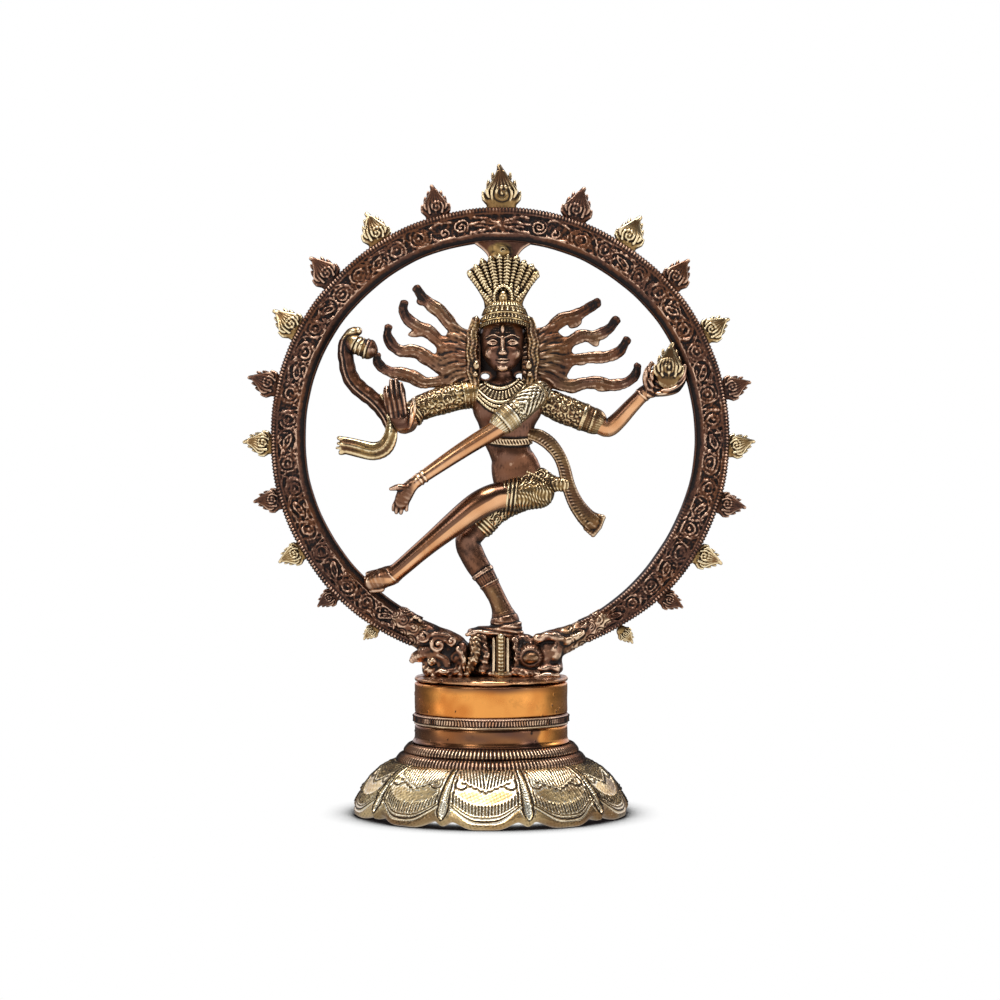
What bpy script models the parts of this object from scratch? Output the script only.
"""Brass dancing-figure statue inside a ring of flames, on a drum and a lotus foot.

Run with: blender --background --python part.py
Metres, +Z up. The origin is on the ground, under the centre of the ring, which stands a little to
the right of the foot. Everything is drawn round the axis of the lotus foot and moved over at the
end. The figure faces -Y.
Left and right in the names are the viewer's, looking along +Y.
"""

from math import atan2, cos, pi, radians, sin, sqrt

import bmesh
import bpy
from mathutils import Matrix, Vector

MM = 0.001
GAP = 0.35  # brazing gap between neighbouring castings, mm

# Lotus foot
PETALS = 10
PETAL_TURN = radians(-2.2)  # the middle petal stands a little to the left of the front
LIP_R = 57.3
LOTUS_TOP = 21.3
NOTCH_DEPTH = 2.0
NOTCH_LIFT = 1.6

# Drum and what is stacked round it
DRUM_R = 32.1
DRUM_TOP = 55.0
DRUM_WALL = 2.7
SPIGOT_R = 31.9
BELT_LOW, BELT_HIGH, BELT_R = 37.3, 41.9, 33.0
COLLAR_BORE = 32.3
PLATE_TOP = 57.3
STUD_R, STUD_HOLE_R = 3.0, 3.5
STUD_LOW, STUD_HIGH = 43.5, 66.0

# Ring of flames
RING_X, RING_Z = 3.8, 157.6
RING_OUT, RING_IN, RING_HALF_DEPTH = 96.2, 81.8, 3.0
RING_HALF_SWEEP = radians(158.0)
FLAMES_A_SIDE = 10
FLAME_STEP, FLAME_CLOSER = 16.3, 0.16  # degrees to the first flame, and how the steps shrink
FLAME_RIGHT_TURN, FLAME_RIGHT_FIRST = 0.9, 2.0  # degrees further round on the right
TOP_FLAME_HEIGHT = 18.4
FLAME_HEIGHT, FLAME_SHORTER = 14.6, 0.45
LAST_FULL_FLAME, END_SHORTER = 8, 1.4

# Head-dress
FAN_X, FAN_Z = 5.5, 208.0
FAN_PLUMES, FAN_SPREAD = 9, radians(37.6)
FAN_TIP_R, FAN_SIDE_TIP_R, FAN_ROOT_R = 25.6, 22.5, 6.0

COLOURS = {
    "gold": ((0.62, 0.47, 0.17), 0.32),
    "copper": ((0.72, 0.36, 0.15), 0.22),
    "dark": ((0.25, 0.13, 0.08), 0.42),
    "steel": ((0.55, 0.55, 0.56), 0.40),
}


def clear_scene():
    for old in list(bpy.data.objects):
        bpy.data.objects.remove(old)


def new_collection(name):
    made = bpy.data.collections.new(name)
    bpy.context.scene.collection.children.link(made)
    return made


def new_material(name):
    colour, roughness = COLOURS[name]
    made = bpy.data.materials.new(name)
    made.use_nodes = True
    shader = made.node_tree.nodes["Principled BSDF"]
    shader.inputs["Base Color"].default_value = (*colour, 1.0)
    shader.inputs["Metallic"].default_value = 1.0
    shader.inputs["Roughness"].default_value = roughness
    return made


clear_scene()
STATUE = new_collection("statue")
CUTTERS = new_collection("cutters")
MATERIALS = {name: new_material(name) for name in COLOURS}


# ---------------------------------------------------------------- helpers


def add_object(name, data, material=None, collection=STATUE):
    made = bpy.data.objects.new(name, data)
    collection.objects.link(made)
    if material:
        data.materials.clear()
        data.materials.append(MATERIALS[material])
    return made


def evaluated_mesh(obj):
    """A closed copy of the object as the viewport shows it, in world space."""
    bpy.context.view_layer.update()
    graph = bpy.context.evaluated_depsgraph_get()
    mesh = bpy.data.meshes.new_from_object(obj.evaluated_get(graph), depsgraph=graph)
    mesh.transform(obj.matrix_world)
    work = bmesh.new()
    work.from_mesh(mesh)
    bmesh.ops.remove_doubles(work, verts=work.verts, dist=1e-6)
    work.to_mesh(mesh)
    work.free()
    return mesh


def helper(obj):
    """Takes a cutter or a guide out of the part."""
    obj.hide_render = True
    obj.display_type = "WIRE"
    return obj


def smooth(obj, angle=40):
    obj.data.shade_smooth()
    obj.data.set_sharp_from_angle(angle=radians(angle))
    return obj


def turned(name, profile, material, steps=32, sweep=2 * pi):
    """A closed profile of (radius, height) in mm, spun round Z. It runs down its outer side."""
    mesh = bpy.data.meshes.new(name)
    count = len(profile)
    points = [(r * MM, 0, z * MM) for r, z in profile]
    mesh.from_pydata(points, [(i, (i + 1) % count) for i in range(count)], [])
    made = add_object(name, mesh)
    screw = made.modifiers.new("Spin", "SCREW")
    screw.axis = "Z"
    screw.angle = sweep
    screw.steps = screw.render_steps = steps
    screw.use_merge_vertices = True
    screw.merge_threshold = 1e-6
    screw.use_smooth_shade = False
    solid = evaluated_mesh(made)
    bpy.data.objects.remove(made)
    return smooth(add_object(name, solid, material))


def ellipsoid(centre, half, tilt=0.0):
    """An ellipsoid as a mesh, turned by tilt degrees about Y."""
    work = bmesh.new()
    bmesh.ops.create_uvsphere(work, u_segments=20, v_segments=12, radius=1.0)
    place = Matrix.Translation(Vector(centre) * MM)
    turn = Matrix.Rotation(radians(tilt), 4, "Y")
    size = Matrix.Diagonal((*[h * MM for h in half], 1.0))
    bmesh.ops.transform(work, matrix=place @ turn @ size, verts=work.verts)
    mesh = bpy.data.meshes.new("ellipsoid")
    work.to_mesh(mesh)
    work.free()
    return mesh


def tube(points, depth=1.0):
    """A tapered tube as a mesh, through points of (x, y, z, radius) in mm; depth flattens it about y = 0."""
    if len(points) == 2:
        points = [points[0], [(a + b) / 2 for a, b in zip(*points)], points[1]]
    curve = bpy.data.curves.new("tube", "CURVE")
    curve.dimensions = "3D"
    curve.bevel_depth = MM
    curve.bevel_resolution = 3
    curve.use_fill_caps = True
    curve.resolution_u = 4
    line = curve.splines.new("NURBS")
    line.points.add(len(points) - 1)
    for spot, (x, y, z, r) in zip(line.points, points):
        spot.co = (x * MM, y * MM, z * MM, 1.0)
        spot.radius = r
    line.order_u = 3
    line.use_endpoint_u = True
    guide = add_object("tube", curve)
    mesh = evaluated_mesh(guide)
    mesh.transform(Matrix.Diagonal((1.0, depth, 1.0, 1.0)))
    bpy.data.objects.remove(guide)
    return mesh


def limb(points):
    """A tube with a ball at each end."""
    (ax, ay, az, ar), (bx, by, bz, br) = points[0], points[-1]
    return [tube(points), ellipsoid((ax, ay, az), (ar,) * 3), ellipsoid((bx, by, bz), (br,) * 3)]


def fused(name, shapes, material, triangles=320, voxel=0.7):
    """Overlapping closed shapes made one skin, then thinned to about this many triangles."""
    work = bmesh.new()
    for shape in shapes:
        work.from_mesh(shape)
    mesh = bpy.data.meshes.new(name)
    work.to_mesh(mesh)
    work.free()
    made = add_object(name, mesh)
    skin = made.modifiers.new("One skin", "REMESH")
    skin.mode = "VOXEL"
    skin.voxel_size = voxel * MM
    soften = made.modifiers.new("Soften", "SMOOTH")
    soften.factor, soften.iterations = 0.5, 2
    faces = 2 * len(evaluated_mesh(made).polygons)
    thin = made.modifiers.new("Thin out", "DECIMATE")
    thin.ratio = min(1.0, triangles / faces)
    solid = evaluated_mesh(made)
    bpy.data.objects.remove(made)
    return smooth(add_object(name, solid, material), 60)


def flat_outline(name, outline, thickness, material, front=0.0):
    """A flat piece from an outline of (x, z) in mm, its middle plane at y = front."""
    curve = bpy.data.curves.new(name, "CURVE")
    curve.dimensions = "2D"
    curve.fill_mode = "BOTH"
    curve.extrude = thickness / 2 * MM
    line = curve.splines.new("POLY")
    line.points.add(len(outline) - 1)
    for spot, (x, z) in zip(line.points, outline):
        spot.co = (x * MM, z * MM, 0, 1)
    line.use_cyclic_u = True
    guide = add_object(name, curve)
    guide.rotation_euler = (pi / 2, 0, 0)
    guide.location = (0, front * MM, 0)
    mesh = evaluated_mesh(guide)
    bpy.data.objects.remove(guide)
    return add_object(name, mesh, material)


def boolean(obj, other, operation):
    cut = obj.modifiers.new(operation.title(), "BOOLEAN")
    cut.operation = operation
    cut.solver = "EXACT"
    cut.object = other


def leave_room(obj, *neighbours, gap=GAP):
    """Cuts each neighbour, grown by the brazing gap, out of the object."""
    for other in neighbours:
        mesh = evaluated_mesh(other)
        cutter = helper(add_object("room_for_" + other.name, mesh, collection=CUTTERS))
        grow = cutter.modifiers.new("Gap", "DISPLACE")
        grow.strength = gap * MM
        grow.mid_level = 0.0
        boolean(obj, cutter, "DIFFERENCE")
    return obj


# ---------------------------------------------------------------- lotus foot and drum


def petal_share(angle):
    """0 in the middle of a petal, 1 in the notch between two."""
    turn = (angle - PETAL_TURN + pi / 2) * PETALS / (2 * pi)
    return abs(2 * (turn - round(turn))) ** 4


def lotus_foot():
    profile = [
        (40.2, LOTUS_TOP), (45.6, 19.0), (50.2, 14.8), (54.0, 9.6), (56.6, 4.6),
        (LIP_R, 2.2), (56.4, 0.8), (54.4, 0.0), (51.4, 0.0), (51.8, 6.6),
        (48.6, 12.0), (43.4, 16.4), (38.0, 18.8), (32.6, 18.8), (32.6, LOTUS_TOP),
    ]
    foot = turned("lotus_foot", profile, "gold", steps=5 * PETALS)
    for spot in foot.data.vertices:
        radius = sqrt(spot.co.x**2 + spot.co.y**2) / MM
        if radius > 54.0 and spot.co.z > 0.3 * MM:
            share = petal_share(atan2(spot.co.y, spot.co.x))
            low = 1 - min(1.0, spot.co.z / MM / 9.6)
            shrink = 1 - NOTCH_DEPTH * share * low / radius
            spot.co.x *= shrink
            spot.co.y *= shrink
            spot.co.z += NOTCH_LIFT * share * low * MM
    return foot


def drum():
    inner = SPIGOT_R - DRUM_WALL
    profile = [
        (DRUM_R - 0.4, DRUM_TOP), (DRUM_R, DRUM_TOP - 0.5), (DRUM_R, BELT_HIGH + 0.3),
        (DRUM_R - 0.8, BELT_HIGH + 0.3), (DRUM_R - 0.8, BELT_LOW - 0.3), (DRUM_R, BELT_LOW - 0.3),
        (DRUM_R + 0.1, 31.5), (DRUM_R + 1.2, 29.6), (SPIGOT_R, 29.6), (SPIGOT_R, 19.5),
        (inner, 19.5), (inner, DRUM_TOP - 3.0), (STUD_HOLE_R, DRUM_TOP - 3.0), (STUD_HOLE_R, DRUM_TOP),
    ]
    return turned("drum", profile, "copper")


def belt_ring():
    bore = DRUM_R - 0.8 + 0.35
    profile = [(BELT_R, BELT_HIGH), (BELT_R, BELT_LOW), (bore, BELT_LOW), (bore, BELT_HIGH)]
    return turned("belt_ring", profile, "dark")


def reeded_collar(name, low, high, radius):
    middle = (low + high) / 2
    profile = [
        (radius - 1.0, high), (radius, middle), (radius - 0.8, low),
        (COLLAR_BORE, low), (COLLAR_BORE, high),
    ]
    return turned(name, profile, "dark")


def top_plate():
    low = DRUM_TOP + 0.3
    profile = [
        (30.6, PLATE_TOP), (31.7, 56.5), (31.5, low), (STUD_HOLE_R, low), (STUD_HOLE_R, PLATE_TOP),
    ]
    return turned("top_plate", profile, "dark", steps=32)


def round_bar(name, radius, low, high, material, sides=20, bore=0.0):
    """A bar, or with a bore a washer or a nut, standing on the drum's axis."""
    work = bmesh.new()
    bmesh.ops.create_cone(
        work, cap_ends=True, segments=sides, radius1=radius * MM, radius2=radius * MM,
        depth=(high - low) * MM, matrix=Matrix.Translation((0, 0, (low + high) / 2 * MM)),
    )
    mesh = bpy.data.meshes.new(name)
    work.to_mesh(mesh)
    work.free()
    made = add_object(name, mesh, material)
    if bore:
        hole = round_bar(name + "_bore", bore, low - 2, high + 2, material)
        CUTTERS.objects.link(hole)
        STATUE.objects.unlink(hole)
        boolean(made, helper(hole), "DIFFERENCE")
    return made


def fixings():
    under = DRUM_TOP - 3.0 - 0.3
    stud = round_bar("fixing_stud", STUD_R, STUD_LOW, STUD_HIGH, "steel")
    round_bar("fixing_washer", 7.0, under - 1.5, under, "steel", bore=STUD_R + 0.35)
    round_bar("fixing_nut", 5.8, under - 1.8 - 5.0, under - 1.8, "steel", sides=6, bore=STUD_R + 0.3)
    return stud


# ---------------------------------------------------------------- ring and flames


def flame_ring():
    deep = RING_HALF_DEPTH
    profile = [
        (RING_OUT - 1.4, deep), (RING_OUT, deep - 1.2), (RING_OUT, 1.0 - deep), (RING_OUT - 1.0, -deep),
        (RING_IN + 1.2, -deep), (RING_IN, 1.0 - deep), (RING_IN, deep - 2.4), (RING_IN + 2.8, deep),
    ]
    ring = turned("flame_ring", profile, "dark", steps=56, sweep=2 * RING_HALF_SWEEP)
    work = bmesh.new()
    work.from_mesh(ring.data)
    bmesh.ops.holes_fill(work, edges=work.edges, sides=0)
    bmesh.ops.recalc_face_normals(work, faces=work.faces)
    # The sweep starts at +X; this puts the gap between the two ends at the bottom, then stands the ring up.
    start = Matrix.Rotation(-pi / 2 + (pi - RING_HALF_SWEEP), 4, "Z")
    stand = Matrix.Rotation(pi / 2, 4, "X")
    place = Matrix.Translation((RING_X * MM, 0, RING_Z * MM))
    bmesh.ops.transform(work, matrix=place @ stand @ start, verts=work.verts)
    work.to_mesh(ring.data)
    work.free()
    return ring


def flame_outline(height):
    """Outline of a flame tongue, drawn for the top one and scaled."""
    drawn = [
        (-4.4, 0.0), (-6.6, 2.6), (-8.1, 8.2), (-6.1, 7.4), (-5.0, 12.0), (-4.3, 15.2), (-2.4, 14.2),
        (-1.0, 17.0), (0.0, 18.4), (1.2, 17.0), (2.6, 13.8), (4.6, 15.0), (5.2, 11.6), (6.2, 7.4),
        (8.2, 7.9), (6.9, 2.8), (4.4, 0.0),
    ]
    scale = height / TOP_FLAME_HEIGHT
    return [(x * scale, z * scale) for x, z in drawn]


def flame_angle(index, side):
    """Degrees from the top of the ring: closer low down, and a little further round on the right."""
    angle = FLAME_STEP * index - FLAME_CLOSER * index**2
    if index and side > 0:
        angle += FLAME_RIGHT_TURN + FLAME_RIGHT_FIRST / index**2
    return angle


def flame(name, index, side, height, material):
    made = flat_outline(name, flame_outline(height), 3.2, material)
    angle = side * radians(flame_angle(index, side))
    rim = (RING_OUT + 0.3) * MM
    foot = Vector((RING_X * MM + rim * sin(angle), 0, RING_Z * MM + rim * cos(angle)))
    made.data.transform(Matrix.Translation(foot) @ Matrix.Rotation(angle, 4, "Y"))
    return made


def flames():
    flame("flame_top", 0, 1, TOP_FLAME_HEIGHT, "gold")
    for index in range(1, FLAMES_A_SIDE + 1):
        material = "dark" if index % 2 else "gold"
        height = FLAME_HEIGHT - FLAME_SHORTER * index - END_SHORTER * max(0, index - LAST_FULL_FLAME)
        flame(f"flame_left_{index:02d}", index, -1, height, material)
        flame(f"flame_right_{index:02d}", index, 1, height, material)


# ---------------------------------------------------------------- creatures on the plate


def demon():
    shapes = [
        ellipsoid((2.0, 0, 66.0), (12.0, 7.5, 7.0)),
        ellipsoid((4.5, -4.0, 64.5), (6.0, 5.0, 8.0)),
        ellipsoid((1.0, 1.0, 60.5), (14.5, 8.0, 4.2)),
        ellipsoid((16.8, -6.0, 64.6), (5.0, 4.6, 5.2)),
        *limb([(10, -1, 66, 4.4), (16, -4, 65, 4.4)]),
        *limb([(-4, -3, 70, 3.2), (-8.4, -7, 67, 3.0), (-9.6, -8, 60.6, 2.8)]),
    ]
    return fused("demon", shapes, "dark", 322)


def makara_left():
    shapes = [
        *limb([(-33, 0, 79, 6.0), (-26, 0, 75, 6.8), (-19, 0, 70.5, 6.6), (-14.0, 0, 67.5, 5.6)]),
        ellipsoid((-21.5, 0, 66.0), (9.0, 7.6, 8.0)),
        ellipsoid((-22.5, -5.5, 70.5), (4.4, 3.6, 4.6)),
        ellipsoid((-21.0, 0, 60.6), (9.0, 8.0, 4.4)),
        *limb([(-27, -2, 66, 3.4), (-32.6, -3, 65.0, 1.9)]),
    ]
    return fused("makara_left", shapes, "dark", 285)


def makara_right():
    shapes = [
        *limb([(42, 0, 78.5, 5.2), (34, 0, 73.5, 5.8), (27, 0, 69.6, 6.0)]),
        ellipsoid((26.5, 0, 65.6), (5.4, 6.6, 7.6)),
        ellipsoid((26.0, -1.0, 61.0), (5.6, 7.0, 4.6)),
        ellipsoid((34.0, -3.4, 73.2), (4.0, 2.6, 2.6), 28),
    ]
    return fused("makara_right", shapes, "dark", 248)


# ---------------------------------------------------------------- the dancer


def torso():
    shapes = [
        ellipsoid((6.9, 0, 171.5), (15.4, 6.8, 8.6)),
        ellipsoid((6.9, 0, 163.5), (13.4, 6.6, 9.0)),
        tube([(7.2, 0, 168, 13.0), (7.4, 0, 160.0, 11.4), (7.2, 0, 153.6, 9.2), (9.2, 0, 148.3, 9.4),
              (11.4, 0, 143.4, 11.6), (12.6, 0, 139.0, 11.0)], 0.66),
        tube([(5.9, 0, 172, 4.4), (5.9, -0.4, 183.0, 3.6)]),
    ]
    return fused("torso", shapes, "dark", 285)


def hips():
    shapes = [
        ellipsoid((14.4, 0, 135.6), (12.2, 8.0, 7.8), -8),
        *limb([(18.0, -2, 134.6, 6.8), (10.4, -4.6, 133.4, 6.4)]),
        *limb([(12.0, 1.6, 132.4, 6.4), (4.6, 3.0, 128.8, 6.0), (-1.8, 3.6, 122.6, 5.6)]),
        *limb([(22.0, -1, 137.6, 3.4), (27.4, -1, 137.4, 3.0)]),
    ]
    return fused("hips", shapes, "gold", 260)


def standing_leg():
    shapes = [
        *limb([(0.0, 3.6, 124.6, 4.8), (-4.6, 3.8, 119.6, 5.2), (-10.6, 3.6, 115.0, 5.4),
            (-8.6, 3.0, 108.0, 5.2),
               (-5.1, 2.2, 103.0, 5.0), (-1.8, 1.4, 97.9, 4.4), (1.4, 0.6, 91.6, 3.7), (4.6, 0, 85.0, 4.2),
               (5.8, 0, 80.0, 5.4)]),
        ellipsoid((2.2, -0.6, 76.6), (11.2, 5.0, 3.0)),
    ]
    return fused("standing_leg", shapes, "dark", 300)


def raised_leg():
    shapes = [
        *limb([(8.4, -6.0, 132.4, 5.6), (1.6, -7.8, 132.4, 6.0), (-7.4, -8.8, 127.6, 5.8),
            (-15.4, -8.8, 121.2, 4.7),
               (-23.1, -8.4, 114.7, 4.2), (-29.8, -7.8, 109.2, 4.0), (-36.8, -7.0, 103.4, 3.8),
                   (-42.6, -6.2, 99.0, 3.6)]),
        *limb([(-42.6, -6.0, 98.8, 3.8), (-48.4, -4.6, 97.6, 4.2)]),
    ]
    return fused("raised_leg", shapes, "copper", 280)


def head():
    shapes = [
        ellipsoid((4.8, -1.5, 197.0), (9.4, 8.8, 10.6)),
        ellipsoid((4.8, -3.4, 190.4), (6.6, 6.4, 6.4)),
        tube([(5.4, 0.5, 190, 3.8), (5.5, 0.2, 182.4, 3.6)]),
        *limb([(-5.8, 0.6, 203.0, 1.9), (-7.2, 0.4, 193.0, 2.2), (-7.0, -0.8, 182.6, 2.0)]),
        *limb([(15.6, 0.6, 203.0, 1.9), (17.0, 0.4, 193.0, 2.2), (16.8, -0.8, 182.6, 2.0)]),
    ]
    return fused("head", shapes, "dark", 285)


def crown_band():
    profile = [(7.2, 214.2), (8.6, 211.0), (9.8, 207.8), (11.0, 204.6), (3.0, 204.6), (3.0, 214.2)]
    band = turned("crown_band", profile, "gold", steps=28)
    band.data.transform(Matrix.Translation((5.2 * MM, -0.8 * MM, 0)))
    return band


def fan_outline():
    """Scalloped fan: one round tip for each plume, with a notch between neighbours."""
    step = 2 * FAN_SPREAD / (FAN_PLUMES - 1)
    outline = []
    for index in range(FAN_PLUMES):
        angle = -FAN_SPREAD + index * step
        tip = FAN_TIP_R - (FAN_TIP_R - FAN_SIDE_TIP_R) * (angle / FAN_SPREAD) ** 2
        for share, radius in ((-0.5, tip - 2.4), (-0.22, tip), (0.22, tip)):
            turn = angle + share * step
            outline.append((FAN_X + radius * sin(turn), FAN_Z + radius * cos(turn)))
    edge = FAN_SPREAD + 0.5 * step
    for turn, radius in ((edge, FAN_SIDE_TIP_R - 2.4), (edge, 9.0), (0.9 * edge, 6.6), (-0.9 * edge, 6.6),
        (-edge, 9.0)):
        outline.append((FAN_X + radius * sin(turn), FAN_Z + radius * cos(turn)))
    return outline


def crown_fan():
    return flat_outline("crown_fan", fan_outline(), 3.0, "gold", front=-2.2)


def crown_bridge():
    left = [(-6.0, 241.0), (-2.6, 237.0), (-0.4, 233.2), (0.4, 226.0), (1.6, 218.0)]
    outline = left + [(11.0 - x, z) for x, z in reversed(left)]
    return flat_outline("crown_bridge", outline, 3.2, "dark", front=1.4)


def hair_left():
    back = 1.6
    shapes = [
        tube([(-31.3, back, 220.0, 1.8), (-28.4, back, 215.9, 2.1), (-21.5, back, 210.3, 2.6), (-15.8,
            back, 203.4, 2.6),
              (-13.6, back, 197.5, 3.0), (-11.0, back, 192.0, 3.4)]),
        tube([(-36.5, back, 214.0, 1.6), (-36.9, back, 210.0, 1.9), (-34.2, back, 205.8, 2.1), (-28.4,
            back, 202.8, 2.6),
              (-22.9, back, 198.8, 2.4), (-12.0, back, 190.3, 3.4)]),
        tube([(-43.1, back, 203.9, 1.7), (-43.5, back, 199.8, 2.0), (-40.0, back, 194.2, 2.2), (-32.7,
            back, 193.6, 2.6),
              (-27.0, back, 190.8, 2.4), (-21.0, back, 186.3, 2.6), (-12.0, back, 184.9, 3.2)]),
        tube([(-47.9, back, 192.2, 1.6), (-47.7, back, 188.8, 1.9), (-43.8, back, 185.0, 2.0), (-37.1,
            back, 183.9, 2.6),
              (-31.0, back, 182.2, 2.5), (-25.6, back, 181.0, 2.1), (-12.0, back, 181.6, 2.2)]),
        ellipsoid((-14.0, back, 189.0), (5.4, 3.0, 9.0)),
    ]
    return fused("hair_left", shapes, "dark", 420, 0.6)


def hair_right():
    back = 1.6
    shapes = [
        tube([(44.6, back, 214.0, 1.9), (39.7, back, 210.8, 2.0), (31.5, back, 207.4, 2.5), (25.6,
            back, 203.6, 2.5),
              (23.2, back, 199.6, 2.6), (20.5, back, 194.5, 3.2)]),
        tube([(52.6, back, 206.8, 1.6), (48.8, back, 202.3, 1.9), (42.0, back, 199.8, 2.3), (36.0,
            back, 199.4, 2.2),
              (30.0, back, 195.3, 2.5), (21.5, back, 191.6, 3.4)]),
        tube([(57.2, back, 198.4, 1.6), (53.7, back, 193.2, 1.9), (47.0, back, 190.9, 2.2), (37.0,
            back, 190.3, 2.1),
              (31.5, back, 189.4, 2.4), (22.0, back, 187.8, 3.4)]),
        tube([(61.7, back, 187.8, 1.6), (60.1, back, 183.0, 1.9), (53.6, back, 179.6, 2.2), (44.9,
            back, 180.3, 2.2),
              (38.0, back, 180.0, 2.1), (30.0, back, 180.6, 2.6), (22.5, back, 184.0, 3.2)]),
        ellipsoid((25.0, back, 189.0), (6.0, 3.0, 9.2)),
    ]
    return fused("hair_right", shapes, "dark", 420, 0.6)


def crossing_arm():
    upper = fused("crossing_upper_arm", [
        *limb([(19.5, -5.0, 175.0, 4.8), (13.0, -10.2, 169.6, 5.4), (5.6, -12.6, 163.4, 5.4)]),
    ], "gold", 160)
    fore = fused("crossing_forearm", [
        *limb([(5.6, -12.8, 163.0, 4.0), (2.4, -13.2, 160.4, 3.9), (-15.5, -13.6, 149.2, 3.5),
            (-30.7, -14.0, 139.1, 2.7)]),
        *limb([(-31.5, -14.0, 138.4, 2.5), (-34.6, -13.6, 134.4, 3.1), (-37.0, -13.0, 129.2, 2.4),
            (-38.2, -12.4, 126.6, 1.7)]),
        *limb([(-34.4, -14.0, 135.8, 1.7), (-40.6, -14.4, 135.9, 1.1)]),
    ], "copper", 230, 0.6)
    return upper, fore


def blessing_arm():
    upper = fused("blessing_upper_arm", [
        *limb([(-4.0, 0, 174.2, 5.0), (-9.0, -1.0, 175.4, 5.6), (-20.2, -1.6, 173.1, 5.8),
            (-30.2, -3.0, 169.3, 5.4), (-33.6, -4.6, 166.4, 5.0)]),
    ], "gold", 170)
    hand = fused("blessing_hand", [
        *limb([(-34.4, -7.0, 164.6, 4.0), (-36.6, -12.0, 164.0, 3.3), (-37.4, -14.4, 166.4, 3.0)]),
        *limb([(-37.6, -14.2, 167.0, 3.0), (-38.4, -13.8, 171.4, 3.3), (-39.4, -13.4, 176.6, 2.9),
            (-39.8, -13.0, 179.4, 1.7)]),
        *limb([(-36.0, -14.0, 168.6, 1.7), (-33.6, -14.4, 174.4, 1.2)]),
    ], "copper", 230, 0.6)
    return upper, hand


def fire_arm():
    upper = fused("fire_upper_arm", [
        *limb([(17.6, 1.0, 174.0, 5.0), (22.0, 1.5, 173.4, 5.4), (29.8, 2.0, 169.3, 5.8),
            (40.7, 2.4, 165.6, 5.2)]),
    ], "gold", 160)
    fore = fused("fire_forearm", [
        *limb([(40.0, 2.4, 165.6, 4.0), (47.4, 2.4, 161.6, 3.7), (50.2, 2.2, 161.0, 3.6),
            (57.0, 1.6, 168.0, 3.1), (63.8, 0.6, 175.6, 2.7)]),
        *limb([(65.2, 0, 177.0, 2.6), (70.4, 0, 178.6, 3.0), (76.8, -0.6, 182.4, 2.0)]),
        *limb([(66.0, -1.4, 178.4, 1.8), (66.2, -2.4, 184.6, 1.5)]),
    ], "copper", 240, 0.6)
    return upper, fore


def palm_flame():
    made = flat_outline("palm_flame", flame_outline(14.6), 3.0, "gold", front=-3.6)
    made.data.transform(Matrix.Translation((73.2 * MM, 0, 182.0 * MM)) @ Matrix.Rotation(radians(4), 4, "Y"))
    return made


def cobra():
    shapes = [
        *limb([(-41.0, -6.6, 160.4, 2.4), (-43.4, -7.0, 165.8, 2.9), (-48.4, -7.2, 172.4, 3.1),
            (-55.8, -7.2, 178.0, 3.0),
               (-59.4, -7.2, 183.6, 2.9), (-60.8, -7.0, 190.4, 2.9), (-60.6, -7.0, 196.0, 2.8),
                   (-57.4, -7.2, 199.8, 3.0)]),
        ellipsoid((-53.4, -8.0, 195.4), (4.6, 4.0, 4.0), 40),
    ]
    return fused("cobra", shapes, "dark", 240)


def shawl_end():
    shapes = limb([(-41.8, -12.6, 165.6, 1.5), (-40.2, -11.6, 160.2, 2.6), (-41.8, -11.0, 155.4, 3.3),
                   (-47.0, -10.6, 152.6, 3.6), (-53.0, -10.2, 152.4, 3.4), (-58.0, -10.0, 152.8, 3.4)])
    return fused("shawl_end", shapes, "gold", 160)


def sash_tail():
    shapes = [
        *limb([(19.4, -3.4, 158.2, 2.6), (24.6, -3.0, 154.6, 2.8), (28.8, -2.6, 149.4, 2.6),
            (31.0, -2.4, 144.0, 2.7),
               (33.0, -2.2, 136.4, 2.9), (35.8, -2.2, 129.4, 3.2), (39.8, -2.2, 123.9, 3.6)]),
        ellipsoid((43.4, -2.2, 120.8), (5.0, 3.4, 5.0)),
    ]
    return fused("sash_tail", shapes, "gold", 200)


# ---------------------------------------------------------------- assembly


def build():
    lotus_foot()
    drum()
    belt_ring()
    reeded_collar("collar_lower", 21.7, 25.3, 39.4)
    reeded_collar("collar_upper", 25.7, 29.2, 35.6)
    plate = top_plate()
    stud = fixings()

    ring = flame_ring()
    flames()

    leg = standing_leg()
    creature = leave_room(demon(), plate, leg, stud)
    left = leave_room(makara_left(), plate, ring, creature)
    right = leave_room(makara_right(), plate, ring, creature)
    assert left and right

    pelvis = hips()
    body = leave_room(torso(), pelvis)
    leave_room(leg, pelvis)
    stride = leave_room(raised_leg(), pelvis, ring)
    skull = leave_room(head(), body)
    band = leave_room(crown_band(), skull)
    fan = leave_room(crown_fan(), band)
    leave_room(crown_bridge(), ring, fan, band, skull)

    cross_upper, cross_fore = crossing_arm()
    leave_room(cross_upper, body)
    leave_room(cross_fore, cross_upper)
    bless_upper, bless_hand = blessing_arm()
    leave_room(bless_upper, body)
    leave_room(bless_hand, bless_upper)
    fire_upper, fire_fore = fire_arm()
    leave_room(fire_upper, body, cross_upper)
    leave_room(fire_fore, fire_upper, ring)
    leave_room(palm_flame(), fire_fore, ring)

    leave_room(hair_left(), skull, body, bless_upper)
    leave_room(hair_right(), skull, body, fire_upper, cross_upper)
    snake = leave_room(cobra(), bless_hand, bless_upper)
    leave_room(shawl_end(), snake, bless_hand, bless_upper)
    leave_room(sash_tail(), body, pelvis, cross_upper)
    assert stride

    # The ring's centre comes over the origin.
    for made in [*STATUE.objects, *CUTTERS.objects]:
        made.location.x -= RING_X * MM


build()
